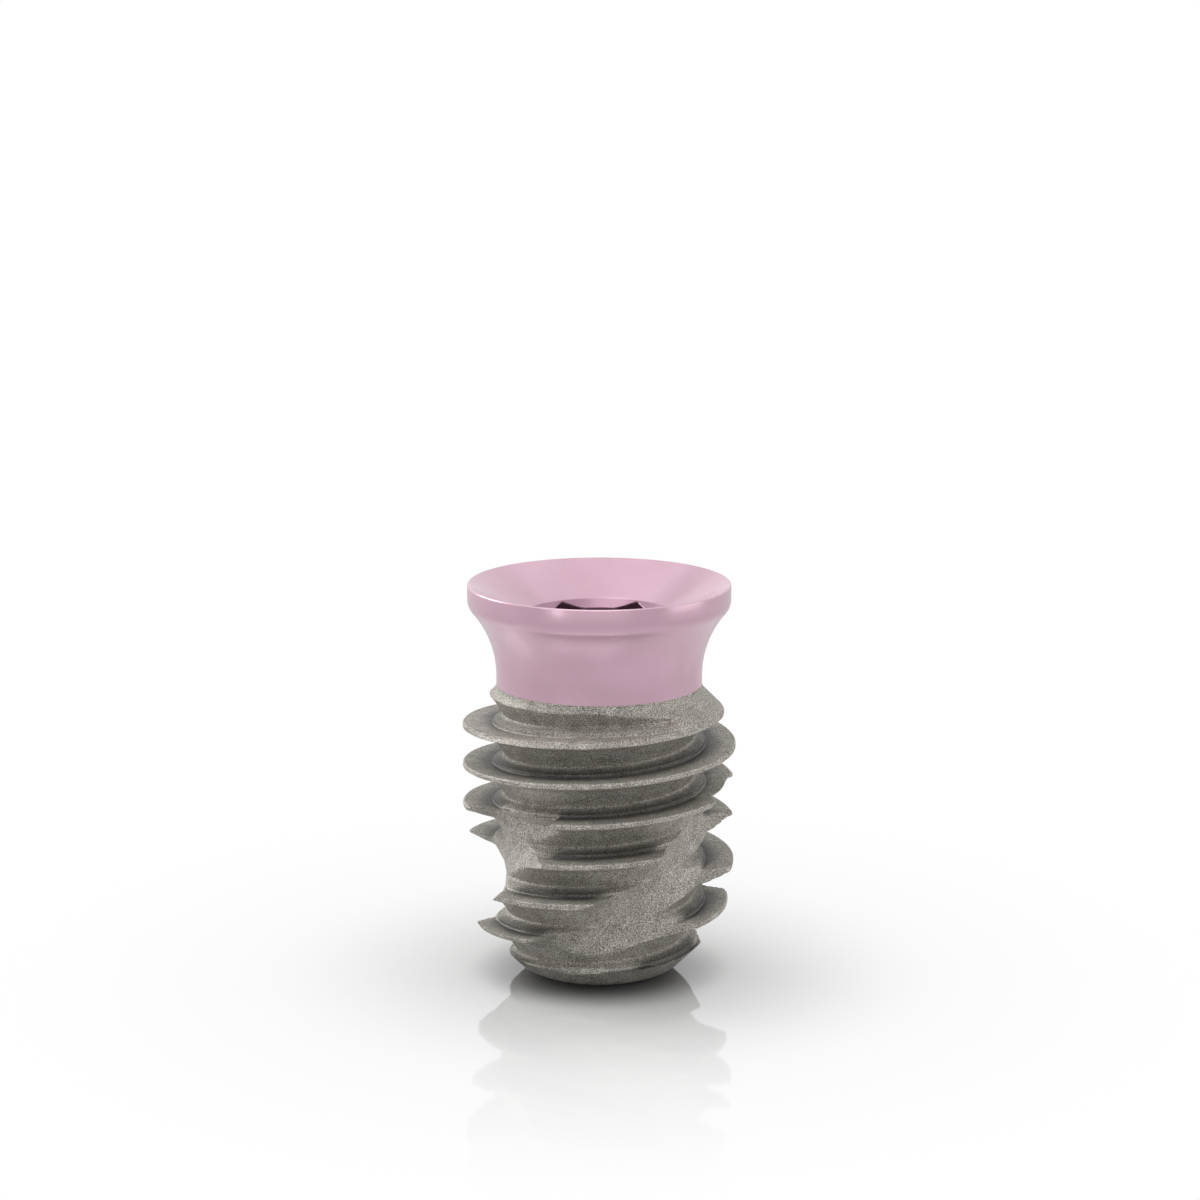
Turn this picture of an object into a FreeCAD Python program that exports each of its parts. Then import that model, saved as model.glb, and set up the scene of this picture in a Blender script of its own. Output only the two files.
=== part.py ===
import FreeCAD, Part
import math
import os
import re
import Sketcher

# A one-piece dental implant, turned and milled from titanium, standing on its apex.
# Millimetres. +Z runs up the axis from the flat of the apex to the rim. -Y is the front.
# Angles round the axis are counted from the front towards +X.

vector = FreeCAD.Vector
document = FreeCAD.newDocument("DentalImplant")

# The driving dimensions: name, value, what it is
dimensions = [
    ("bodyLength", 5.36, "apex to the foot of the smooth neck"),
    ("collarHeight", 1.94, "foot of the neck to the rim"),
    ("seamTurn", 335, "where the blank's outline stands round the axis, degrees"),
    ("platformRadius", 2.4, "outside of the rim band"),
    ("bandHeight", 0.4, "rim band, top to lower corner"),
    ("bandRounding", 0.3, "rounding under the rim band"),
    ("lipBevel", 0.02, "bevel on the outside of the lip"),
    ("lipWidth", 0.04, "lip between the band and the funnel"),
    ("neckRadius", 1.88, "waist of the neck"),
    ("waistRise", 0.24, "straight of the waist above its foot"),
    ("neckRounding", 0.4, "rounding between the neck and the run-out cone"),
    ("funnelFootRadius", 1.41, "foot of the conical funnel"),
    ("funnelDepth", 0.575, "rim to the foot of the funnel"),
    ("seatFootRadius", 1.236, "foot of the steeper seat below the funnel"),
    ("seatDepth", 0.145, "height of that seat"),
    ("leadInDepth", 0.3, "round lead-in above the full hexagon"),
    ("hexCornerRadius", 1.39, "axis to a corner of the hexagon socket"),
    ("hexDepth", 2.0, "rim to the floor of the socket"),
    ("screwBoreRadius", 0.8, "bore for the screw thread"),
    ("screwBoreDepth", 4.7, "rim to the end of the bore's wall"),
    ("screwBorePoint", 0.48, "height of the drill point"),
    ("apexFaceRadius", 0.85, "flat that the implant stands on"),
    ("apexDomeRadius", 1.2, "break in the shallow dome round that flat"),
    ("apexDomeHeight", 0.065, "height of that break"),
    ("apexEdgeRadius", 1.47, "edge of the apex dome"),
    ("apexEdgeHeight", 0.17, "height of that edge"),
    ("tipConeRadius", 2.33, "top of the steep tip cone"),
    ("tipConeHeight", 1.03, "height of the top of the tip cone"),
    ("taperHeight", 2.3, "height where the slight taper reaches full size"),
    ("crestRadius", 2.5, "thread crest"),
    ("crestWidth", 0.09, "land of the thread crest"),
    ("threadPitch", 0.74, "rise of the thread in one turn"),
    ("threadTopDrop", 0.482, "foot of the neck down to the first full crest, at the front"),
    ("shoulderRadius", 1.985, "where the blade's underside turns down into the wall"),
    ("shoulderDrop", 0.21, "that corner, below the crest over it"),
    ("wallTopRadius", 1.845, "top of the root wall"),
    ("wallTopDrop", 0.41, "top of the root wall, below the crest over it"),
    ("wallFootRadius", 1.735, "foot of the root wall"),
    ("wallFootRise", 0.16, "foot of the root wall, above the crest below it"),
    ("hookRadius", 1.955, "tip of the small hooked ridge"),
    ("hookRise", 0.084, "tip of the hook, above the crest below it"),
    ("hookThickness", 0.03, "thickness of the hook's tip"),
    ("troughInnerRadius", 1.76, "inner side of the trough under the hook"),
    ("troughRadius", 1.9, "deepest line of the trough"),
    ("troughDepth", 0.05, "depth of the trough below the middle of the crest"),
    ("flankBreakRadius", 2.05, "inner edge of the blade's flat upper flank"),
    ("crestMargin", 0.03, "the groove's flanks run straight this far past the crest"),
    ("toolRadius", 3.1, "how far out the cutting outlines reach"),
    ("tipDeepening", 0.163, "how much deeper each lower turn of the tip is cut"),
    ("tipTurns", 2, "turns of the deepened tip"),
    ("mainFootHeight", 1.178, "crest at the front where the tip turns end"),
    ("joinStep", 0.012, "depth of the step where two runs of the thread join"),
    ("joinOverlap", 0.004, "overlap of two runs, in turns"),
    ("runOutTurns", 0.27, "length of the thread's run-out, in turns"),
    ("runOutGrowth", 2.8, "how fast the run-out leaves the root, each turn"),
    ("fluteCount", 3, "helical flutes round the body"),
    ("fluteFloorRadius", 1.71, "axis to the floor of a flute"),
    ("fluteFloorBend", 0.055, "how far the floor has risen a quarter of the way across"),
    ("fluteFloorEdge", 0.25, "how far it has risen where the side walls start"),
    ("fluteFloorHalf", 0.836, "half the height of the floor, along the axis"),
    ("fluteHalf", 1.14, "half the height of a flute at the crest"),
    ("fluteReach", 1.4, "half the height of its cutting outline"),
    ("fluteAngle", -32.8, "middle of the first flute at the apex plane, degrees"),
    ("fluteTwist", 35.1, "turn of a flute for each millimetre up, degrees"),
    ("fluteEndAngle", 98.5, "where the first flute stops, degrees"),
    ("fluteTop", 3.75, "top of a flute at the crest"),
    ("fluteTopSlope", 0.85, "rise of a flute's end for each unit outwards"),
]

sheet = document.addObject("Spreadsheet::Sheet", "Dimensions")
for row, (alias, value, note) in enumerate(dimensions, start=1):
    sheet.set("A" + str(row), note)
    sheet.set("B" + str(row), str(value))
    sheet.setAlias("B" + str(row), alias)
document.recompute()

body = document.addObject("PartDesign::Body", "ImplantBody")
body.Label = "implant_body"


def originPart(role):
    """The plane or axis of the body's own origin that has this role."""
    return [feature for feature in body.Origin.OriginFeatures if feature.Role == role][0]


def expression(text):
    """A formula over the sheet's names, with each name turned into a cell reference."""
    aliases = "|".join(alias for alias, value, note in dimensions)
    return re.sub(r"\b(" + aliases + r")\b", r"Dimensions.\1", text)


def newSketch(name, plane, height="0", turn="0"):
    """A sketch on an origin plane, raised along the axis and turned about it."""
    sketch = body.newObject("Sketcher::SketchObject", name)
    sketch.AttachmentSupport = [(originPart(plane), "")]
    sketch.MapMode = "FlatFace"
    along, about = ("z", vector(0, 0, 1)) if plane == "XY_Plane" else ("y", vector(0, 1, 0))
    sketch.AttachmentOffset = FreeCAD.Placement(vector(), FreeCAD.Rotation(about, 1))
    sketch.setExpression("AttachmentOffset.Base." + along, expression(height))
    sketch.setExpression("AttachmentOffset.Rotation.Angle", expression(turn))
    return sketch


def bind(sketch, name, kind, *arguments):
    """One named dimension of a sketch, driven by a formula, which comes last."""
    index = sketch.addConstraint(Sketcher.Constraint(kind, *arguments[:-1]))
    sketch.renameConstraint(index, name)
    sketch.setExpression("Constraints." + name, expression(arguments[-1]))


def outline(sketch, corners, arcs=()):
    """A closed outline through the corners, each placed by two formulas.

    The edge that starts at a corner named in arcs is an arc, tangent to the edge before it.
    """
    names = list(corners)
    for index, name in enumerate(names):
        start = vector(1 + index, 1 + index * index, 0)
        point = sketch.addGeometry(Part.Point(start), True)
        across, up = corners[name]
        bind(sketch, name + "Across", "DistanceX", -1, 1, point, 1, start.x, across)
        bind(sketch, name + "Up", "DistanceY", -1, 1, point, 1, start.y, up)
    document.recompute()
    places = [vector(sketch.Geometry[index].X, sketch.Geometry[index].Y, 0)
              for index in range(len(names))]
    edges = []
    for index, name in enumerate(names):
        first, last = places[index], places[(index + 1) % len(names)]
        if name in arcs:
            along = (first - places[index - 1]).normalize()
            edge = tangentArc(first, last, along)
        else:
            edge = Part.LineSegment(first, last)
        edges.append(sketch.addGeometry(edge, False))
    for index, name in enumerate(names):
        edge, before = edges[index], edges[index - 1]
        start, end = (1, 2) if name not in arcs else arcEnds(sketch.Geometry[edge], places[index])
        past = 2 if names[index - 1] not in arcs else pastEnd
        sketch.addConstraint(Sketcher.Constraint("Coincident", index, 1, before, past))
        joint = "Tangent" if name in arcs else "Coincident"
        sketch.addConstraint(Sketcher.Constraint(joint, before, past, edge, start))
        pastEnd = end
    return sketch


def tangentArc(first, last, along):
    """The arc between first and last that leaves first in the direction along."""
    chord = last - first
    side = vector(-along.y, along.x, 0)
    radius = chord.dot(chord) / (2 * chord.dot(side))
    centre = first + side * radius
    angles = [math.atan2(end.y - centre.y, end.x - centre.x) for end in (first, last)]
    if radius < 0:
        angles.reverse()
    if angles[1] < angles[0]:
        angles[1] += 2 * math.pi
    return Part.ArcOfCircle(Part.Circle(centre, vector(0, 0, 1), abs(radius)), *angles)


def arcEnds(arc, first):
    """Which end of a sketched arc lies at first, and which is the other."""
    if arc.StartPoint.distanceToPoint(first) < arc.EndPoint.distanceToPoint(first):
        return 1, 2
    return 2, 1


# The turned blank: apex, tip cone, cylinder, run-out cone, neck, rim, funnel, seat and bores
rim = "(bodyLength + collarHeight)"
blank = outline(newSketch("BlankOutline", "XZ_Plane", "0", "seamTurn"), {
    "apexCentre": ("0", "0"),
    "apexFace": ("apexFaceRadius", "0"),
    "apexDome": ("apexDomeRadius", "apexDomeHeight"),
    "apexEdge": ("apexEdgeRadius", "apexEdgeHeight"),
    "tipCone": ("tipConeRadius", "tipConeHeight"),
    "taper": ("crestRadius", "taperHeight"),
    "runOut": ("crestRadius", "bodyLength - (crestRadius - neckRadius)"),
    "neckFoot": ("neckRadius", "bodyLength"),
    "waist": ("neckRadius", "bodyLength + waistRise"),
    "bandFoot": ("platformRadius", rim + " - bandHeight"),
    "bandTop": ("platformRadius", rim + " - lipBevel"),
    "lipOuter": ("platformRadius - lipBevel", rim),
    "lipInner": ("platformRadius - lipWidth", rim),
    "funnelFoot": ("funnelFootRadius", rim + " - funnelDepth"),
    "seatFoot": ("seatFootRadius", rim + " - funnelDepth - seatDepth"),
    "leadInFoot": ("seatFootRadius", rim + " - funnelDepth - seatDepth - leadInDepth"),
    "socketTop": ("hexCornerRadius * cos(30)", rim + " - funnelDepth - seatDepth - leadInDepth"),
    "socketFloor": ("hexCornerRadius * cos(30)", rim + " - hexDepth"),
    "screwMouth": ("screwBoreRadius", rim + " - hexDepth"),
    "screwEnd": ("screwBoreRadius", rim + " - screwBoreDepth"),
    "drillPoint": ("0", rim + " - screwBoreDepth - screwBorePoint"),
}, arcs=("waist",))
turned = body.newObject("PartDesign::Revolution", "TurnedBlank")
turned.Profile = blank
turned.ReferenceAxis = (blank, ["V_Axis"])
turned.Angle = 360
document.recompute()


def edgesAt(shape, radiusAlias, height):
    """The names of the full circles that have this radius and lie at this height."""
    found = []
    for index, edge in enumerate(shape.Edges, start=1):
        circle = edge.Curve
        if isinstance(circle, Part.Circle) and abs(circle.Radius - sheet.get(radiusAlias)) < 1e-6:
            if abs(circle.Center.z - height) < 1e-6:
                found.append("Edge" + str(index))
    return found


def rounding(base, name, radius, edges):
    """A fillet on named edges, with its radius from the sheet."""
    fillet = body.newObject("PartDesign::Fillet", name)
    fillet.Base = (base, edges)
    fillet.Radius = sheet.get(radius)
    fillet.setExpression("Radius", expression(radius))
    document.recompute()
    return fillet


rimHeight = sheet.get("bodyLength") + sheet.get("collarHeight")
bandFoot = edgesAt(turned.Shape, "platformRadius", rimHeight - sheet.get("bandHeight"))
underBand = rounding(turned, "UnderBandRounding", "bandRounding", bandFoot)
neckFoot = edgesAt(underBand.Shape, "neckRadius", sheet.get("bodyLength"))
rounding(underBand, "NeckRounding", "neckRounding", neckFoot)


def helicalCut(name, sketch, turns, lead, growth):
    """A sketch swept upwards round the axis and cut away; growth moves it out each turn."""
    cut = body.newObject("PartDesign::SubtractiveHelix", name)
    cut.Profile = sketch
    cut.ReferenceAxis = (sketch, ["V_Axis"])
    cut.Mode = 3
    cut.LeftHanded = False
    cut.setExpression("Turns", expression(turns))
    cut.setExpression("Height", expression("(" + turns + ") * " + lead))
    cut.setExpression("Growth", expression(growth))
    document.recompute()
    return cut


# One flute: a wide shallow helical cut from below the apex, repeated round the axis
fluteFoot = "(-fluteReach - 0.05)"  # the middle of the outline starts this far up
fluteStart = "(fluteAngle + fluteTwist * " + fluteFoot + ")"
halfRadii = ["fluteFloorRadius + fluteFloorBend", "fluteFloorRadius + fluteFloorEdge",
             "crestRadius + crestMargin", "toolRadius"]
halfHeights = ["fluteFloorHalf / 2", "fluteFloorHalf", "fluteHalf", "fluteReach"]
fluteMiddle = "2 * fluteReach"  # drawn this far up in its sketch, which is lowered as much
halves = list(zip(halfRadii, halfHeights))
upperHalf = [(radius, fluteMiddle + " + " + height) for radius, height in halves]
lowerHalf = [(radius, fluteMiddle + " - " + height) for radius, height in halves]
fluteCorners = [("fluteFloorRadius", fluteMiddle)] + upperHalf + lowerHalf[::-1]
fluteOutline = newSketch("FluteOutline", "XZ_Plane", fluteFoot + " - " + fluteMiddle,
                         fluteStart + " - 90")
outline(fluteOutline, {"corner" + str(index): corner for index, corner in enumerate(fluteCorners)})
fluteTurns = "(fluteEndAngle - " + fluteStart + ") / 360"
flute = helicalCut("Flute", fluteOutline, fluteTurns, "360 / fluteTwist", "0")
flutes = body.newObject("PartDesign::PolarPattern", "Flutes")
flutes.Originals = [flute]
flutes.Axis = (originPart("Z_Axis"), [""])
flutes.Angle = 360
flutes.Occurrences = int(sheet.get("fluteCount"))
flutes.setExpression("Occurrences", expression("fluteCount"))
body.Tip = flutes
document.recompute()

# The flutes run out against a cone: a ring filled in again above them
ring = outline(newSketch("FluteEndOutline", "XZ_Plane", "0", "seamTurn"), {
    "inner": ("fluteFloorRadius - 0.1",
              "fluteTop - (crestRadius - fluteFloorRadius + 0.1) * fluteTopSlope"),
    "outer": ("crestRadius", "fluteTop"),
    "top": ("crestRadius", "bodyLength - (crestRadius - neckRadius)"),
    "innerTop": ("fluteFloorRadius - 0.1", "bodyLength - (crestRadius - neckRadius)"),
})
fluteEnd = body.newObject("PartDesign::Revolution", "FluteEnd")
fluteEnd.Profile = ring
fluteEnd.ReferenceAxis = (ring, ["V_Axis"])
fluteEnd.Angle = 360
document.recompute()

# The hexagon socket: corners at +X and -X, cut through the round lead-in from the seat down
hexagon = newSketch("HexagonSocket", "XY_Plane", rim)
cornerRadius = sheet.get("hexCornerRadius")
circle = hexagon.addGeometry(Part.Circle(vector(), vector(0, 0, 1), cornerRadius), True)
hexagon.addConstraint(Sketcher.Constraint("Coincident", circle, 3, -1, 1))
bind(hexagon, "corner", "Radius", circle, cornerRadius, "hexCornerRadius")
hexCorners = [vector(cornerRadius * math.cos(math.radians(60 * k)),
                     cornerRadius * math.sin(math.radians(60 * k)), 0) for k in range(6)]
sides = [hexagon.addGeometry(Part.LineSegment(hexCorners[k], hexCorners[(k + 1) % 6]), False)
         for k in range(6)]
for k in range(6):
    hexagon.addConstraint(Sketcher.Constraint("Coincident", sides[k - 1], 2, sides[k], 1))
    hexagon.addConstraint(Sketcher.Constraint("PointOnObject", sides[k], 1, circle))
for k in range(1, 6):
    hexagon.addConstraint(Sketcher.Constraint("Equal", sides[0], sides[k]))
hexagon.addConstraint(Sketcher.Constraint("PointOnObject", sides[0], 1, -1))
socket = body.newObject("PartDesign::Pocket", "Socket")
socket.Profile = hexagon
socket.Length = sheet.get("hexDepth")
socket.setExpression("Length", expression("hexDepth"))
document.recompute()


def threadGroove(name, foot, inset, turns, growth):
    """A helical groove between two crests: blade, root wall, small hook and trough.

    foot is the height of the lower crest at the front, where the groove starts.
    inset is how far the outline is moved towards the axis, and growth moves it out each turn.
    """
    def radius(alias):
        return alias + " - (" + inset + ")"

    def above(rise):
        return "threadPitch / 2 + " + rise

    def below(drop):
        return "threadPitch * 3 / 2 - " + drop

    sketch = newSketch(name + "Outline", "XZ_Plane", foot + " - threadPitch / 2", "-90")
    outline(sketch, {
        "crestOver": (radius("crestRadius + crestMargin"), below("crestWidth / 2")),
        "shoulder": (radius("shoulderRadius"), below("shoulderDrop")),
        "wallTop": (radius("wallTopRadius"), below("wallTopDrop")),
        "wallFoot": (radius("wallFootRadius"), above("wallFootRise")),
        "hookTop": (radius("hookRadius"), above("hookRise")),
        "hookUnder": (radius("hookRadius"), above("hookRise - hookThickness")),
        "hookInner": (radius("troughInnerRadius"), above("hookRise - hookThickness")),
        "trough": (radius("troughRadius"), above("0 - troughDepth")),
        "flankBreak": (radius("flankBreakRadius"), above("crestWidth / 2 - hookThickness / 3")),
        "crestUnder": (radius("crestRadius + crestMargin"), above("crestWidth / 2")),
        "outerUnder": ("toolRadius", above("crestWidth / 2")),
        "outerOver": ("toolRadius", below("crestWidth / 2")),
    })
    return helicalCut(name, sketch, turns, "threadPitch", growth)


# The thread is cut upwards in three runs: a deepened tip, the main turns and a rising run-out.
# At each join the outer run starts a hair deeper and higher, so the two never share a surface.
firstCrest = "(bodyLength - threadTopDrop)"
mainTurns = "round((bodyLength - threadTopDrop - mainFootHeight) / threadPitch)"
mainFoot = firstCrest + " - " + mainTurns + " * threadPitch"
threadGroove("MainThread", mainFoot, "0", mainTurns, "0")
threadGroove("TipThread", mainFoot + " - tipTurns * threadPitch + joinStep / 2",
             "tipTurns * tipDeepening + joinStep", "tipTurns + joinOverlap", "tipDeepening")
threadGroove("ThreadRunOut", firstCrest + " - joinOverlap * threadPitch + joinStep / 2",
             "joinStep", "runOutTurns", "runOutGrowth")

for item in document.Objects:
    if "Invalid" in item.State or "Error" in item.State:
        raise RuntimeError(item.Name + " failed: " + str(item.State))
if body.Shape.isNull() or not body.Shape.isValid() or len(body.Shape.Solids) != 1:
    raise RuntimeError(body.Label + " isn't one valid solid")

os.makedirs("parts", exist_ok=True)
body.Shape.exportStep("parts/" + body.Label + ".step")
print(body.Label, "volume", round(body.Shape.Volume, 3), "mm3")
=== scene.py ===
import bpy
import bmesh
import math
import numpy as np
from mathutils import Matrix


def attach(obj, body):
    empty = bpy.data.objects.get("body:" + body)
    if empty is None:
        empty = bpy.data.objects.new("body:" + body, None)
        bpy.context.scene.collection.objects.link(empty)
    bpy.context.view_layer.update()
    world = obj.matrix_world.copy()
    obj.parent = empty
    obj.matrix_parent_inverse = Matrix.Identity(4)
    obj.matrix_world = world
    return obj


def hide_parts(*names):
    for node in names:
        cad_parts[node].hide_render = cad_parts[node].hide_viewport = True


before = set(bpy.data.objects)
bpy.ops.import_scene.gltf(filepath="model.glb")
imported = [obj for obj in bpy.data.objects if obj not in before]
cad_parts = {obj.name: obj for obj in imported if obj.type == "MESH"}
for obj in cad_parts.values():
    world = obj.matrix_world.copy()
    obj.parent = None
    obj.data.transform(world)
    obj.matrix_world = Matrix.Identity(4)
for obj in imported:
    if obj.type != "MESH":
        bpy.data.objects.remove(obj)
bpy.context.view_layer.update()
mm = 0.001  # the numbers below are millimetres and degrees, the scene is in metres
columns = 210  # steps once round the axis, a multiple of 6 for the hexagon
columnAngles = np.arange(columns) * 2 * np.pi / columns
outside = 9.0  # a radius beyond the whole implant


# Camera, at the angle of the photograph

cameraView = {
    "lens": 102.3,
    "distance": 62.0,
    "elevation": 11.9,
    "lookHeight": 6.98,
    "aside": 0.0145,  # the implant stands a hair left of the middle
    "clipStart": 1.0,
}


def placeCamera(view):
    up = math.radians(view["elevation"])
    data = bpy.data.cameras.new("camera")
    data.lens = view["lens"]
    data.clip_start = view["clipStart"] * mm
    camera = bpy.data.objects.new("camera", data)
    camera.location = (view["aside"] * mm, -view["distance"] * math.cos(up) * mm,
                       (view["lookHeight"] + view["distance"] * math.sin(up)) * mm)
    camera.rotation_euler = (math.radians(90) - up, 0, 0)
    bpy.context.scene.collection.objects.link(camera)
    bpy.context.scene.camera = camera


placeCamera(cameraView)
print("camera placed")


# Profiles and grids

def bend(points, corner, radius, steps=8):
    # Replaces the corner of that number by an arc, tangent to both runs beside it
    before, at, after = (np.array(points[corner + k], float) for k in (-1, 0, 1))
    back = (before - at) / np.linalg.norm(before - at)
    on = (after - at) / np.linalg.norm(after - at)
    half = np.arccos(np.clip(back @ on, -1, 1)) / 2
    reach = radius / np.tan(half)
    middle = at + (back + on) / np.linalg.norm(back + on) * radius / np.sin(half)
    start, end = at + back * reach - middle, at + on * reach - middle
    turn = np.linspace(0, 1, steps)[:, None]
    whole = np.pi - 2 * half
    arc = (np.sin((1 - turn) * whole) * start + np.sin(turn * whole) * end) / np.sin(whole)
    return list(points[:corner]) + [tuple(p) for p in middle + arc] + list(points[corner + 1:])


def resample(points, count):
    # The same line, with its points evenly spread along its length
    line = np.array(points, float)
    along = np.concatenate([[0], np.cumsum(np.linalg.norm(np.diff(line, axis=0), axis=1))])
    even = np.linspace(0, along[-1], count)
    return np.stack([np.interp(even, along, line[:, k]) for k in (0, 1)], axis=1)


def ringPoints(angles, radii, heights):
    # A point at each angle from the front, radius and height: (r sin a, -r cos a, z)
    return np.stack([radii * np.sin(angles), -radii * np.cos(angles), heights], axis=-1) * mm


def gridFaces(rows, cols, closed):
    # Quads between neighbouring rows and columns, and from the last column to the first
    number = np.arange(rows * cols).reshape(rows, cols)
    right = np.roll(number, -1, axis=1) if closed else number[:, 1:]
    left = number if closed else number[:, :-1]
    return np.stack([left[:-1], right[:-1], right[1:], left[1:]], axis=-1).reshape(-1, 4)


# The blank: the shape before the thread and the flutes are cut

blank = {
    "apexFace": 0.85,
    "apexRings": (1, 0.6, 0.25, 0),  # rings on the flat of the apex, as shares of its radius
    "apexEdge": (1.47, 0.17),
    "apexRounding": 0.15,
    "domePower": 2.2,
    "tipCone": (2.33, 1.03),
    "tipRounding": 0.5,
    "taperTop": 2.3,
    "crest": 2.5,
    "neckFoot": 5.36,
    "neck": 1.88,
    "neckTop": 6.0,
    "neckRounding": 0.25,
    "finishLine": 5.45,  # grey below, pink above
}


def blankProfile(b):
    # Radius and height from the apex to the neck, with the corners rounded from the top down
    shoulder = b["neckFoot"] - (b["crest"] - b["neck"])
    across = b["apexEdge"][0] - b["apexFace"]
    dome = [(b["apexFace"] + across * s, b["apexEdge"][1] * s ** b["domePower"])
            for s in np.linspace(0, 1, 9)]
    line = dome + [b["tipCone"], (b["crest"], b["taperTop"]), (b["crest"], shoulder),
                   (b["neck"], b["neckFoot"]), (b["neck"], b["neckTop"])]
    line = bend(line, len(dome) + 3, b["neckRounding"])
    line = bend(line, len(dome), b["tipRounding"])
    return np.array(bend(line, len(dome) - 1, b["apexRounding"], 5))


blankLine = blankProfile(blank)


def blankRadius(heights):
    return np.interp(heights, blankLine[:, 1], blankLine[:, 0])


# Helical flutes at the tip

flutes = {
    "count": 3,
    "middle": 1.918,
    "floorRadius": 1.71,  # at the height of the middle
    "floorSlope": 0.04,  # the floor comes out by this much for each millimetre up
    "narrowing": 0.08,  # and the section gets narrower by this share
    "changing": (-0.8, 1.5),  # both go on from here below the middle to here above it
    # how far the floor has risen at this height above and below the flute's own helix
    "section": [(0, 0), (0.418, 0.055), (0.836, 0.25), (1.14, 0.82), (1.4, 1.39)],
    "angle": -32.8,  # middle of the first one at the apex plane
    "twist": 35.1,  # degrees for each millimetre up
    "endAngle": 98.5,  # the first one ends here
    "top": 3.75,
    "topSlope": 0.85,
}


def fluteRadius(angles, heights):
    # The section's rise at the height above the flute's own helix, and a cone at its top end
    away, rise = zip(*flutes["section"])
    above = np.clip(heights - flutes["middle"], *flutes["changing"])
    width = 1 - flutes["narrowing"] * above
    depth = np.full(np.broadcast(angles, heights).shape, outside)
    for k in range(flutes["count"]):
        turned = np.degrees(angles) - 360 / flutes["count"] * k
        turned = flutes["endAngle"] - np.mod(flutes["endAngle"] - turned, 360)
        helix = (turned - flutes["angle"]) / flutes["twist"]
        off = np.abs(heights - helix) / width
        depth = np.minimum(depth, np.interp(off, away, rise, right=outside))
    ceiling = blank["crest"] - (flutes["top"] - heights) / flutes["topSlope"]
    ceiling = np.where(heights > flutes["top"], outside, ceiling)
    return np.maximum(flutes["floorRadius"] + flutes["floorSlope"] * above + depth, ceiling)


# The thread

thread = {
    "pitch": 0.74,
    "firstCrest": 4.878,  # height of the first full crest at the front
    "mainTurns": 5,
    "tipDeepening": 0.163,  # how much deeper each turn below those is
    "runOutTurns": 0.85,
    "runOutGrowth": 2.8,
    "startBelow": 0.8,  # the helix starts this far under the apex
    # one groove, from crest to crest: radius and height above the lower crest
    "groove": [(2.62, 0.047), (2.05, 0.035), (1.93, 0.005), (1.945, 0.055), (1.95, 0.084),
               (1.735, 0.16), (1.845, 0.33), (1.985, 0.53), (2.62, 0.733)],
    "crestOutside": 2.62,
    "sampledTo": 2.56,  # the samples are spent inside this radius
    "samples": 48,
    "fineSteps": 1200,
    "softness": 0.03,
    "softReach": 80,  # in fine steps
    # painted shade in the root: darker up to this rise above the crest, and inside this radius
    "rootTop": 0.17,
    "rootTopFade": 0.09,
    "rootRadius": 2.3,
    "rootRadiusFade": 0.3,
    "fluteFade": (0.08, 0.5),  # and not within this of a flute, over this depth
    "runOutFade": 0.35,  # in turns
    "runOutShade": 0.1,
}


def softGroove(t):
    # One groove's line, its corners softened by a bell-shaped mean over the points beside them
    ends = [(t["crestOutside"], 0)], [(t["crestOutside"], t["pitch"])]
    fine = resample(ends[0] + t["groove"] + ends[1], t["fineSteps"])
    reach = t["softReach"]
    width = t["softness"] / np.linalg.norm(fine[1] - fine[0])
    weight = np.exp(-0.5 * (np.arange(-reach, reach + 1) / width) ** 2)
    weight = weight / weight.sum()
    padded = np.pad(fine, ((reach, reach), (0, 0)), mode="reflect", reflect_type="odd")
    soft = np.stack([np.convolve(padded[:, k], weight, "valid") for k in (0, 1)], axis=1)
    inner = resample(soft[soft[:, 0] < t["sampledTo"]], t["samples"] - 2)
    return np.concatenate([ends[0], inner, ends[1]])


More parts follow.
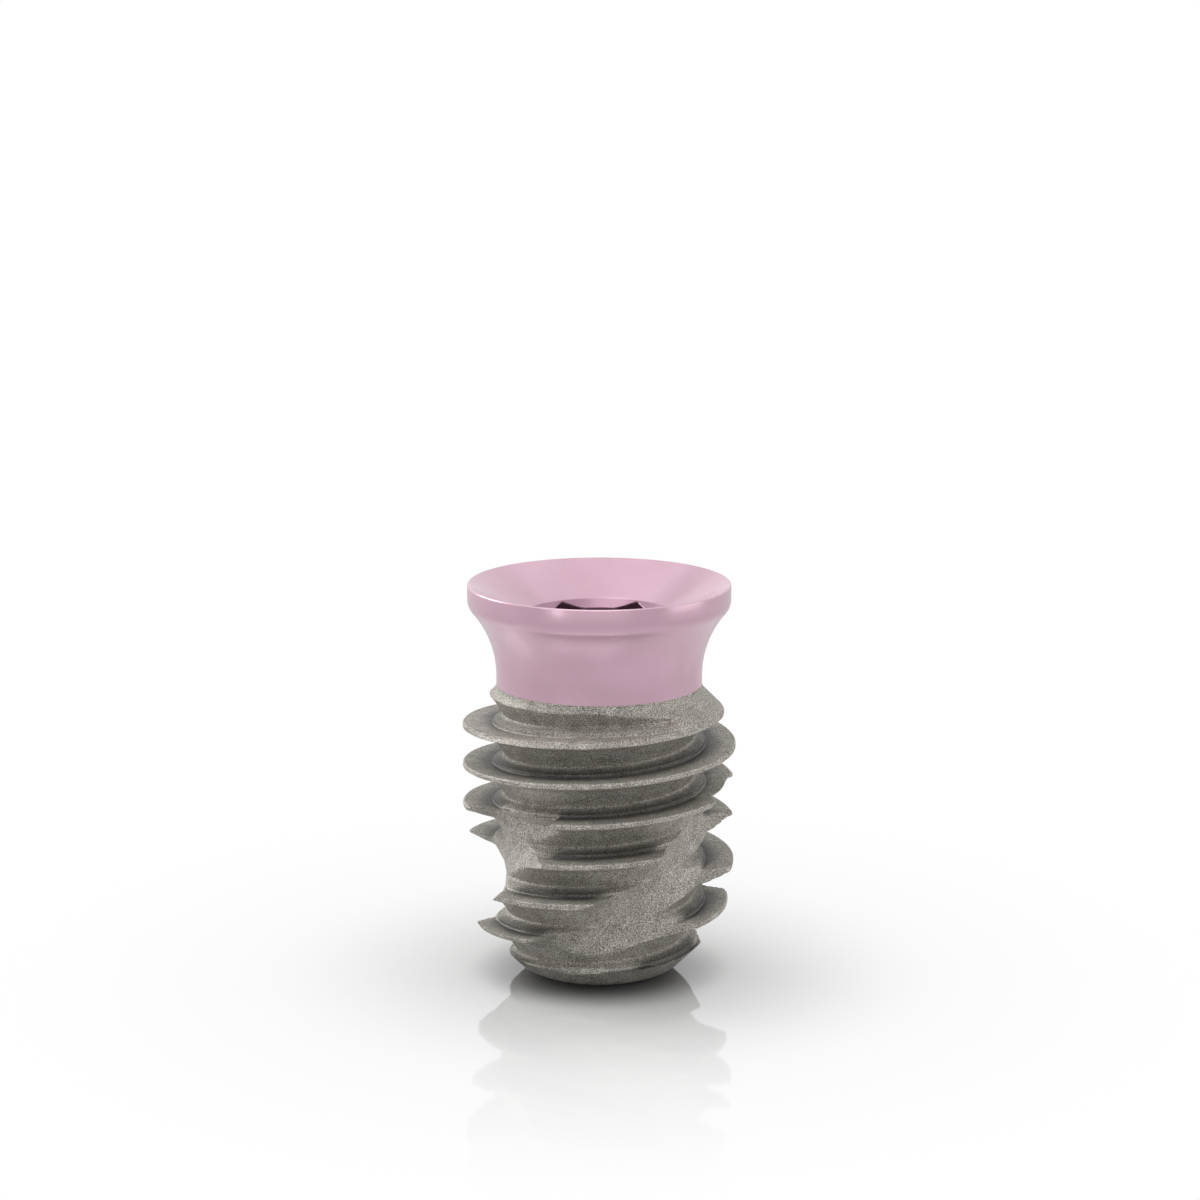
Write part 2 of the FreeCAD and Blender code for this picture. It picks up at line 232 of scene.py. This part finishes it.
def threadSurface():
    # The groove's line is carried up a helix; each point is then drawn in to the blank's
    # surface and to the flutes wherever it would stand out of them.
    t, profile = thread, softGroove(thread)
    low = -math.ceil((t["firstCrest"] + t["startBelow"]) / t["pitch"] * columns)
    steps = np.arange(low, math.ceil(t["runOutTurns"] * columns))
    turns = steps[:, None] / columns
    angles = columnAngles[np.mod(steps, columns)][:, None]
    inset = t["tipDeepening"] * np.clip(-t["mainTurns"] - turns, 0, None)
    inset = inset - t["runOutGrowth"] * np.clip(turns, 0, None)
    radii = profile[:, 0] - inset * (profile[:, 0] < blank["crest"])
    lift = np.broadcast_to(profile[:, 1], radii.shape)

    foot = t["firstCrest"] + turns * t["pitch"]
    limit = np.minimum(blankRadius(foot + lift), fluteRadius(angles, foot + lift))
    buried = radii >= limit
    # Where a stretch is drawn in, it climbs steadily, so the hook leaves no folds
    climb = np.maximum.accumulate(lift, axis=1)
    ahead = np.where(buried, t["pitch"], lift)[:, ::-1]
    climb = np.minimum(climb, np.minimum.accumulate(ahead, axis=1)[:, ::-1])
    climb[:, 0], climb[:, -1] = 0, t["pitch"]
    heights = foot + np.where(buried, climb, lift)
    radii = np.minimum(radii, np.minimum(blankRadius(heights), fluteRadius(angles, heights)))

    # Below the apex and above the finish line everything closes up on one ring
    top = blank["finishLine"]
    radii = np.where(heights <= 0, blank["apexFace"], radii)
    radii = np.where(heights >= top, blankRadius(top), radii)
    heights = np.clip(heights, 0, top)
    points = ringPoints(np.broadcast_to(angles, radii.shape), radii, heights)
    faces = gridFaces(*radii.shape, False)[:, ::-1]

    # Painted shade in the root, full at the hook; it is gone up the wall, out on the flank, where a
    # flute has cut the root away, and towards the run-out
    near, deep = t["fluteFade"]
    root = np.clip((t["rootTop"] - lift) / t["rootTopFade"], 0, 1)
    root = root * np.clip((t["rootRadius"] - radii) / t["rootRadiusFade"], 0, 1)
    root = root * np.clip((fluteRadius(angles, heights) - radii - near) / deep, 0, 1)
    root = root * np.clip(-turns / t["runOutFade"], t["runOutShade"], 1)
    return points.reshape(-1, 3), faces, root.ravel()


def apexSurface():
    # Rings on the flat of the apex, from its edge to the middle
    shares = np.array(blank["apexRings"])[:, None]
    radii = shares * blank["apexFace"] + np.zeros(columns)
    points = ringPoints(columnAngles + 0 * radii, radii, 0 * radii).reshape(-1, 3)
    return points, gridFaces(len(shares), columns, True), np.zeros(len(points))


# The collar and what is inside it

collar = {
    "rim": 7.3,
    "platform": 2.4,
    "bandHeight": 0.4,
    "bandRounding": 0.3,
    "flareFoot": 5.6,
    "lipBevel": 0.02,
    "lipWidth": 0.04,
    "lipRounding": 0.012,
    "funnelRounding": 0.02,
    "funnelFoot": (1.41, 6.725),
    "seatFoot": (1.236, 6.58),
    "leadInFoot": 6.28,
    "hexCorner": 1.39,
    "hexInside": 1.1,  # a radius inside the hexagon, which pushes it out to its walls
    "socketFloor": 5.3,
    # radius, and depth below the socket's floor, down to the bore
    "boreMouth": [(1.02, 0.0), (1.0, 0.3), (0.8, 0.4)],
    "screwBore": 0.8,
    "screwStart": 0.42,  # depth below the socket's floor
    "screwEnd": 2.6,
    "screwPitch": 0.4,
    "screwDepth": 0.17,
    "screwFade": 0.2,
    "drillStart": 0.01,  # depth below the end of the screw's thread
    "drillPoint": 2.12,
}


def collarOutside(c):
    # From the finish line up the flare and the band to the lip of the rim
    bandFoot = c["rim"] - c["bandHeight"]
    wide = c["platform"] - blank["neck"]
    small = c["bandRounding"]
    flare = ((bandFoot - c["flareFoot"]) ** 2 + wide ** 2) / (2 * wide)
    middle = blank["neck"] + flare
    # the rounding under the band touches both the flare and the band
    across = middle - (c["platform"] - small)
    rise = math.sqrt((flare + small) ** 2 - across ** 2)
    touch = math.asin(rise / (flare + small))
    line = [(blankRadius(z), z) for z in np.linspace(blank["finishLine"], c["flareFoot"], 5)[:-1]]
    line += [(middle - flare * math.cos(a), c["flareFoot"] + flare * math.sin(a))
             for a in np.linspace(0, touch, 30)]
    line += [(c["platform"] - small + small * math.cos(a),
              c["flareFoot"] + rise - small * math.sin(a)) for a in np.linspace(touch, 0, 10)[1:]]
    lip = [line[-1], (c["platform"], c["rim"] - c["lipBevel"]),
           (c["platform"] - c["lipBevel"], c["rim"]), (c["platform"] - c["lipWidth"], c["rim"]),
           c["funnelFoot"]]
    lip = bend(lip, 3, c["funnelRounding"], 4)
    lip = bend(bend(lip, 2, c["lipRounding"], 3), 1, c["lipRounding"], 3)
    return line + lip[1:-1]


def collarSurface():
    # A turned line from the finish line over the rim and down to the drill point.
    # The hexagon pushes the socket's walls out to its own outline.
    c = collar
    seatRadius, floor = c["seatFoot"][0], c["socketFloor"]
    line = collarOutside(c)
    rimEnd = len(line)
    line += resample([line[-1], c["funnelFoot"]], 14)[1:].tolist()
    line += resample([c["funnelFoot"], c["seatFoot"]], 14)[1:].tolist()
    line += resample([c["seatFoot"], (seatRadius, c["leadInFoot"])], 4)[1:].tolist()
    line += resample([(c["hexInside"], c["leadInFoot"]), (c["hexInside"], floor)], 6).tolist()
    hexEnd = len(line)
    line += [(radius, floor - depth) for radius, depth in c["boreMouth"]]
    boreStart = len(line)
    line += resample([(c["screwBore"], floor - c["screwStart"]),
                      (c["screwBore"], c["screwEnd"])], 70).tolist()
    boreEnd = len(line)
    line += [(c["screwBore"], c["screwEnd"] - c["drillStart"]),
             (c["screwBore"] / 2, (c["screwEnd"] + c["drillPoint"]) / 2), (0, c["drillPoint"])]
    line = np.array(line)

    angles = columnAngles[None, :]
    radii = line[:, :1] + 0 * angles
    heights = line[:, 1:] + 0 * angles
    # a hexagon with corners at +X and -X: the flat's distance over the cosine from its middle
    flat = c["hexCorner"] * math.cos(math.radians(30))
    hexagon = flat / np.cos(np.mod(angles + np.pi / 6, np.pi / 3) - np.pi / 6)
    # painted shade: the socket below the seat and the hexagon's walls are marked for the dark
    # socket colour
    shade = (heights < c["seatFoot"][1] - 0.001).astype(float)
    shade[:rimEnd] = 0
    shade[rimEnd:hexEnd] = np.maximum(shade[rimEnd:hexEnd], hexagon > radii[rimEnd:hexEnd])
    radii[rimEnd:hexEnd] = np.maximum(radii[rimEnd:hexEnd], hexagon)
    # the screw thread: a triangle wave along the height, shifted with the angle
    bore = slice(boreStart, boreEnd)
    wave = np.mod(heights[bore] / c["screwPitch"] - angles / (2 * np.pi), 1)
    inside = np.minimum(heights[bore] - c["screwEnd"], floor - c["screwStart"] - heights[bore])
    fading = np.clip(inside / c["screwFade"], 0, 1)
    radii[bore] += c["screwDepth"] * (1 - np.abs(2 * wave - 1)) * fading
    points = ringPoints(angles + 0 * radii, radii, heights).reshape(-1, 3)
    return points, gridFaces(*radii.shape, True), shade.ravel()


joining = {
    "mergeWithin": 0.0004,
    "smallestFace": 1e-9,  # in square millimetres
    "sharpAngle": 32,
}


def joinSurfaces(name, parts):
    # parts: (points, faces, shade of each point, material number); their seams are merged
    mesh = bpy.data.meshes.new(name)
    offsets = np.cumsum([0] + [len(part[0]) for part in parts])
    points = np.concatenate([part[0] for part in parts])
    faces = np.concatenate([part[1] + start for part, start in zip(parts, offsets)])
    shades = np.concatenate([part[2] for part in parts])
    slots = np.concatenate([np.full(len(part[1]), part[3]) for part in parts])
    mesh.vertices.add(len(points))
    mesh.vertices.foreach_set("co", points.ravel())
    mesh.loops.add(faces.size)
    mesh.loops.foreach_set("vertex_index", faces.ravel())
    mesh.polygons.add(len(faces))
    mesh.polygons.foreach_set("loop_start", np.arange(len(faces)) * 4)
    mesh.polygons.foreach_set("material_index", slots)
    mesh.attributes.new("shade", "FLOAT", "POINT").data.foreach_set("value", shades)
    mesh.update(calc_edges=True)

    work = bmesh.new()
    work.from_mesh(mesh)
    within = joining["mergeWithin"] * mm
    bmesh.ops.remove_doubles(work, verts=work.verts, dist=within)
    bmesh.ops.dissolve_degenerate(work, edges=work.edges, dist=within)
    smallest = joining["smallestFace"] * mm ** 2
    empty = [face for face in work.faces if face.calc_area() < smallest]
    bmesh.ops.delete(work, geom=empty, context="FACES_ONLY")
    bmesh.ops.recalc_face_normals(work, faces=work.faces)
    openEdges = sum(1 for edge in work.edges if len(edge.link_faces) != 2)
    work.to_mesh(mesh)
    work.free()
    mesh.shade_smooth()
    mesh.set_sharp_from_angle(angle=math.radians(joining["sharpAngle"]))
    piece = bpy.data.objects.new(name, mesh)
    bpy.context.scene.collection.objects.link(piece)
    print(name, len(mesh.polygons), "faces,", openEdges, "open edges")
    return piece


# Materials

def newMaterial(name):
    material = bpy.data.materials.new(name)
    material.use_nodes = True
    nodes, links = material.node_tree.nodes, material.node_tree.links
    shader = nodes["Principled BSDF"]
    place = nodes.new("ShaderNodeTexCoord")
    return material, nodes, links, shader, place.outputs["Object"]


def noise(nodes, links, place, size, detail=2.0, rough=0.5, stretch=None):
    # size is that of one blotch in millimetres
    node = nodes.new("ShaderNodeTexNoise")
    node.inputs["Scale"].default_value = 1 / (size * mm)
    node.inputs["Detail"].default_value = detail
    node.inputs["Roughness"].default_value = rough
    if stretch:
        mapping = nodes.new("ShaderNodeMapping")
        mapping.inputs["Scale"].default_value = stretch
        links.new(place, mapping.inputs["Vector"])
        place = mapping.outputs["Vector"]
    links.new(place, node.inputs["Vector"])
    return node.outputs["Fac"]


def ramp(nodes, links, factor, stops):
    node = nodes.new("ShaderNodeValToRGB")
    node.color_ramp.elements[0].position, node.color_ramp.elements[1].position = 0, 1
    for element, (position, colour) in zip(node.color_ramp.elements, (stops[0], stops[-1])):
        element.position, element.color = position, (*colour, 1)
    for position, colour in stops[1:-1]:
        node.color_ramp.elements.new(position).color = (*colour, 1)
    links.new(factor, node.inputs["Fac"])
    return node.outputs["Color"]


def fade(nodes, links, source, reach, values, smooth=True):
    # Runs from the first value to the second while the source goes through the reach
    node = nodes.new("ShaderNodeMapRange")
    if smooth:
        node.interpolation_type = "SMOOTHSTEP"
    for name, value in zip(("From Min", "From Max", "To Min", "To Max"), (*reach, *values)):
        node.inputs[name].default_value = value
    links.new(source, node.inputs["Value"])
    return node.outputs["Result"]


def combine(nodes, links, operation, first, second):
    node = nodes.new("ShaderNodeMath")
    node.operation = operation
    links.new(first, node.inputs[0])
    links.new(second, node.inputs[1])
    return node.outputs[0]


def lengthOf(nodes, links, vector):
    node = nodes.new("ShaderNodeVectorMath")
    node.operation = "LENGTH"
    links.new(vector, node.inputs[0])
    return node.outputs["Value"]


blasted = {
    "dark": (0.08, 0.073, 0.062),
    "middle": (0.31, 0.292, 0.262),
    "light": (0.7, 0.673, 0.62),
    "stops": (0.4, 0.56, 0.72),
    "grain": 0.02,
    "grainDetail": 3.0,
    "grainRoughness": 0.65,
    "cloud": 0.28,
    "cloudWeight": 0.12,
    # painted shade: the thread's roots are darkened by this share
    "rootShade": 0.72,
    "roughness": 0.62,
    "rootRoughness": 0.4,
    "metallic": 0.6,
    "bump": 0.008,
}


def blastedTitanium(look):
    material, nodes, links, shader, place = newMaterial("blastedTitanium")
    grain = noise(nodes, links, place, look["grain"], look["grainDetail"], look["grainRoughness"])
    cloud = noise(nodes, links, place, look["cloud"])
    mix = nodes.new("ShaderNodeMath")
    mix.operation = "MULTIPLY_ADD"
    links.new(cloud, mix.inputs[0])
    mix.inputs[1].default_value = look["cloudWeight"]
    links.new(grain, mix.inputs[2])
    colours = (look["dark"], look["middle"], look["light"])
    colour = ramp(nodes, links, mix.outputs[0], list(zip(look["stops"], colours)))

    # painted shade: the colour is darkened where the shade attribute marks the thread's roots
    root = nodes.new("ShaderNodeAttribute")
    root.attribute_name = "shade"
    left = fade(nodes, links, root.outputs["Fac"], (0, 1), (1, 1 - look["rootShade"]))
    shaded = nodes.new("ShaderNodeVectorMath")
    shaded.operation = "SCALE"
    links.new(colour, shaded.inputs[0])
    links.new(left, shaded.inputs["Scale"])
    links.new(shaded.outputs[0], shader.inputs["Base Color"])
    rough = (look["roughness"], look["rootRoughness"])
    links.new(fade(nodes, links, root.outputs["Fac"], (0, 1), rough), shader.inputs["Roughness"])

    bump = nodes.new("ShaderNodeBump")
    bump.inputs["Distance"].default_value = look["bump"] * mm
    links.new(grain, bump.inputs["Height"])
    links.new(bump.outputs["Normal"], shader.inputs["Normal"])
    shader.inputs["Metallic"].default_value = look["metallic"]
    return material


pinkFinish = {
    "colour": (0.58, 0.375, 0.46),
    "deep": (0.535, 0.34, 0.42),
    "cloud": 0.9,
    "cloudStops": (0.3, 0.7),
    # painted shade: the seat is a deeper pink than the funnel
    "seat": (0.335, 0.18, 0.25),
    "seatEdge": (1.42, 1.44),  # the seat's painted shade ends between these radii
    "seatFade": 0.015,
    # painted shade: the socket's walls near black
    "socket": (0.1, 0.042, 0.064),
    "roughness": (0.21, 0.29),
    "marks": 0.03,  # size of the faint turning marks
    "marksStretch": (0.05, 0.05, 1),
    "metallic": 0.4,
    "coat": 0.35,
    "coatRoughness": 0.12,
}


def pinkAnodised(look):
    material, nodes, links, shader, place = newMaterial("pinkAnodised")
    cloud = noise(nodes, links, place, look["cloud"])
    colours = (look["deep"], look["colour"])
    finish = ramp(nodes, links, cloud, list(zip(look["cloudStops"], colours)))

    split = nodes.new("ShaderNodeSeparateXYZ")
    links.new(place, split.inputs[0])
    flatten = nodes.new("ShaderNodeVectorMath")
    flatten.operation = "MULTIPLY"
    flatten.inputs[1].default_value = (1, 1, 0)
    links.new(place, flatten.inputs[0])
    radius = lengthOf(nodes, links, flatten.outputs[0])
    inside = fade(nodes, links, radius, [edge * mm for edge in look["seatEdge"]], (1, 0))
    top = collar["funnelFoot"][1]
    rise = ((top - look["seatFade"]) * mm, top * mm)
    below = fade(nodes, links, split.outputs["Z"], rise, (1, 0))
    onSeat = combine(nodes, links, "MULTIPLY", inside, below)
    # painted shade of the seat and of the socket, laid over the pink
    inSocket = nodes.new("ShaderNodeAttribute")
    inSocket.attribute_name = "shade"
    for zone, part in (("seat", onSeat), ("socket", inSocket.outputs["Fac"])):
        blend = nodes.new("ShaderNodeMix")
        blend.data_type = "RGBA"
        links.new(part, blend.inputs[0])
        links.new(finish, blend.inputs[6])
        blend.inputs[7].default_value = (*look[zone], 1)
        finish = blend.outputs[2]
    links.new(finish, shader.inputs["Base Color"])

    marks = noise(nodes, links, place, look["marks"], stretch=look["marksStretch"])
    links.new(fade(nodes, links, marks, (0, 1), look["roughness"], smooth=False),
              shader.inputs["Roughness"])
    shader.inputs["Metallic"].default_value = look["metallic"]
    shader.inputs["Coat Weight"].default_value = look["coat"]
    shader.inputs["Coat Roughness"].default_value = look["coatRoughness"]
    return material


# The implant

body = joinSurfaces("implantBody", [
    (*threadSurface(), 0),
    (*apexSurface(), 0),
    (*collarSurface(), 1),
])
body.data.materials.append(blastedTitanium(blasted))
body.data.materials.append(pinkAnodised(pinkFinish))
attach(body, "root")
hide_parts("implant_body")
print("implant made")


# Floor

floorLook = {
    "rings": (0, 5, 40, 900.0),
    "sides": 96,
    "colour": 0.62,
    "roughness": 0.9,
    "contact": (1.3, 2.6),  # the deep shadow under the apex thins out between these radii
    "contactColour": 0.18,
    # the floor as the implant sees it: colour from near to far, dark near the apex as painted
    # shade, then the glow further out
    "bounce": (0.03, 0.75),
    "bounceReach": (2.2, 4.2),
    "glow": (0.95, 0.68),
    "glowReach": (6.0, 20.0),
    "whiteReach": (2.0, 6.5),  # at its end the floor is as white as the background
    "mirror": 0.36,
    "mirrorReach": (0.0, 12.0),
    "mirrorRoughness": 0.05,
}


def pick(nodes, links, seen, hidden, shown):
    # One value for what the camera sees, and another for the light that reaches the implant
    node = nodes.new("ShaderNodeMix")
    links.new(seen, node.inputs["Factor"])
    for socket, value in ((node.inputs["A"], hidden), (node.inputs["B"], shown)):
        if isinstance(value, (int, float)):
            socket.default_value = value
        else:
            links.new(value, socket)
    return node.outputs["Result"]


def floorMesh(look):
    angles = np.arange(look["sides"])[None, :] * 2 * np.pi / look["sides"]
    radii = np.array(look["rings"])[:, None] + 0 * angles
    points = ringPoints(angles + 0 * radii, radii, 0 * radii).reshape(-1, 3)
    mesh = bpy.data.meshes.new("floor")
    mesh.from_pydata(points.tolist(), [], gridFaces(*radii.shape, True).tolist())
    mesh.update()
    work = bmesh.new()
    work.from_mesh(mesh)
    bmesh.ops.remove_doubles(work, verts=work.verts, dist=joining["mergeWithin"] * mm)
    bmesh.ops.recalc_face_normals(work, faces=work.faces)
    work.to_mesh(mesh)
    work.free()
    if mesh.polygons[0].normal.z < 0:
        mesh.flip_normals()
    return mesh


def makeFloor(look):
    # A disc whose mirror shine fades with the distance from the implant
    mesh = floorMesh(look)
    floor = bpy.data.objects.new("floor", mesh)
    bpy.context.scene.collection.objects.link(floor)

    material, nodes, links, shader, place = newMaterial("paleFloor")
    away = lengthOf(nodes, links, place)
    seen = nodes.new("ShaderNodeLightPath").outputs["Is Camera Ray"]

    def ring(reach, values):
        return fade(nodes, links, away, [end * mm for end in reach], values)

    lit = ring(look["contact"], (look["contactColour"], look["colour"]))
    bounce = ring(look["bounceReach"], look["bounce"])
    links.new(pick(nodes, links, seen, bounce, lit), shader.inputs["Base Color"])
    shader.inputs["Roughness"].default_value = look["roughness"]
    shader.inputs["Specular IOR Level"].default_value = 0
    white = nodes.new("ShaderNodeEmission")
    glow = ring(look["glowReach"], look["glow"])
    links.new(pick(nodes, links, seen, glow, 1), white.inputs["Strength"])
    spread = nodes.new("ShaderNodeMixShader")
    links.new(ring(look["whiteReach"], (0, 1)), spread.inputs["Fac"])
    links.new(shader.outputs["BSDF"], spread.inputs[1])
    links.new(white.outputs["Emission"], spread.inputs[2])
    mirror = nodes.new("ShaderNodeBsdfGlossy")
    mirror.inputs["Roughness"].default_value = look["mirrorRoughness"]
    blend = nodes.new("ShaderNodeMixShader")
    links.new(ring(look["mirrorReach"], (look["mirror"], 0)), blend.inputs["Fac"])
    links.new(spread.outputs["Shader"], blend.inputs[1])
    links.new(mirror.outputs["BSDF"], blend.inputs[2])
    links.new(blend.outputs["Shader"], nodes["Material Output"].inputs["Surface"])
    mesh.materials.append(material)


makeFloor(floorLook)
print("floor made")


# Soft studio light

lights = {
    # brightness of the room as the implant sees it: in front, behind, and added overhead
    "front": 0.55,
    "back": 0.95,
    "frontToBack": (-0.5, 0.45),  # places on the sky are sines, here along Y
    "top": 0.25,
    "topEdge": 0.711,  # height where the overhead panel begins
    "topSoftness": 0.02,
    # below that panel, on the left, the sky is this much darker down to this height
    "gap": -0.25,
    "gapFoot": 0.494,
    "gapSoftness": 0.01,
    "gapSide": (-0.1, 0),
    # name: (azimuth from the front, elevation, distance, width, height, power)
    "boxes": {
        "topLight": (-30, 75, 60, 50, 40, 0.012),
        "frontLight": (-10, 12, 60, 90, 40, 0.006),
        "leftLight": (-115, 25, 60, 40, 40, 0.02),
        "rightLight": (80, 15, 60, 40, 40, 0.009),
        "stripLight": (-35, 6, 60, 8, 50, 0.0035),
    },
    "aimHeight": 4,
}


def makeRoom(look):
    world = bpy.data.worlds.new("softRoom")
    bpy.context.scene.world = world
    world.use_nodes = True
    nodes, links = world.node_tree.nodes, world.node_tree.links
    place = nodes.new("ShaderNodeTexCoord")
    split = nodes.new("ShaderNodeSeparateXYZ")
    links.new(place.outputs["Generated"], split.inputs[0])
    x, y, z = (split.outputs[axis] for axis in "XYZ")

    def step(source, edge, softness, change):
        return fade(nodes, links, source, (edge - softness, edge + softness), (0, change))

    around = fade(nodes, links, y, look["frontToBack"], (look["front"], look["back"]))
    above = step(z, look["topEdge"], look["topSoftness"], look["top"])
    lower = step(z, look["gapFoot"], look["gapSoftness"], look["gap"])
    upper = step(z, look["topEdge"], look["gapSoftness"], -look["gap"])
    left = fade(nodes, links, x, look["gapSide"], (1, 0))
    gap = combine(nodes, links, "MULTIPLY", combine(nodes, links, "ADD", lower, upper), left)
    total = combine(nodes, links, "ADD", gap, above)
    total = combine(nodes, links, "ADD", total, around)
    # the camera itself sees plain white
    seen = nodes.new("ShaderNodeLightPath").outputs["Is Camera Ray"]
    links.new(combine(nodes, links, "MAXIMUM", total, seen), nodes["Background"].inputs["Strength"])
    nodes["Background"].inputs["Color"].default_value = (1, 1, 1, 1)


def makeLights(look):
    for name, (azimuth, elevation, distance, width, height, power) in look["boxes"].items():
        data = bpy.data.lights.new(name, "AREA")
        data.shape = "RECTANGLE"
        data.size, data.size_y = width * mm, height * mm
        data.energy = power
        light = bpy.data.objects.new(name, data)
        side, up = math.radians(azimuth), math.radians(elevation)
        away = np.array([math.sin(side) * math.cos(up), -math.cos(side) * math.cos(up),
                         math.sin(up)])
        light.location = (away * distance + np.array([0, 0, look["aimHeight"]])) * mm
        light.rotation_euler = (math.radians(90) - up, 0, side)
        bpy.context.scene.collection.objects.link(light)


makeRoom(lights)
makeLights(lights)
bpy.context.scene.view_settings.view_transform = "Standard"
print("lights made")
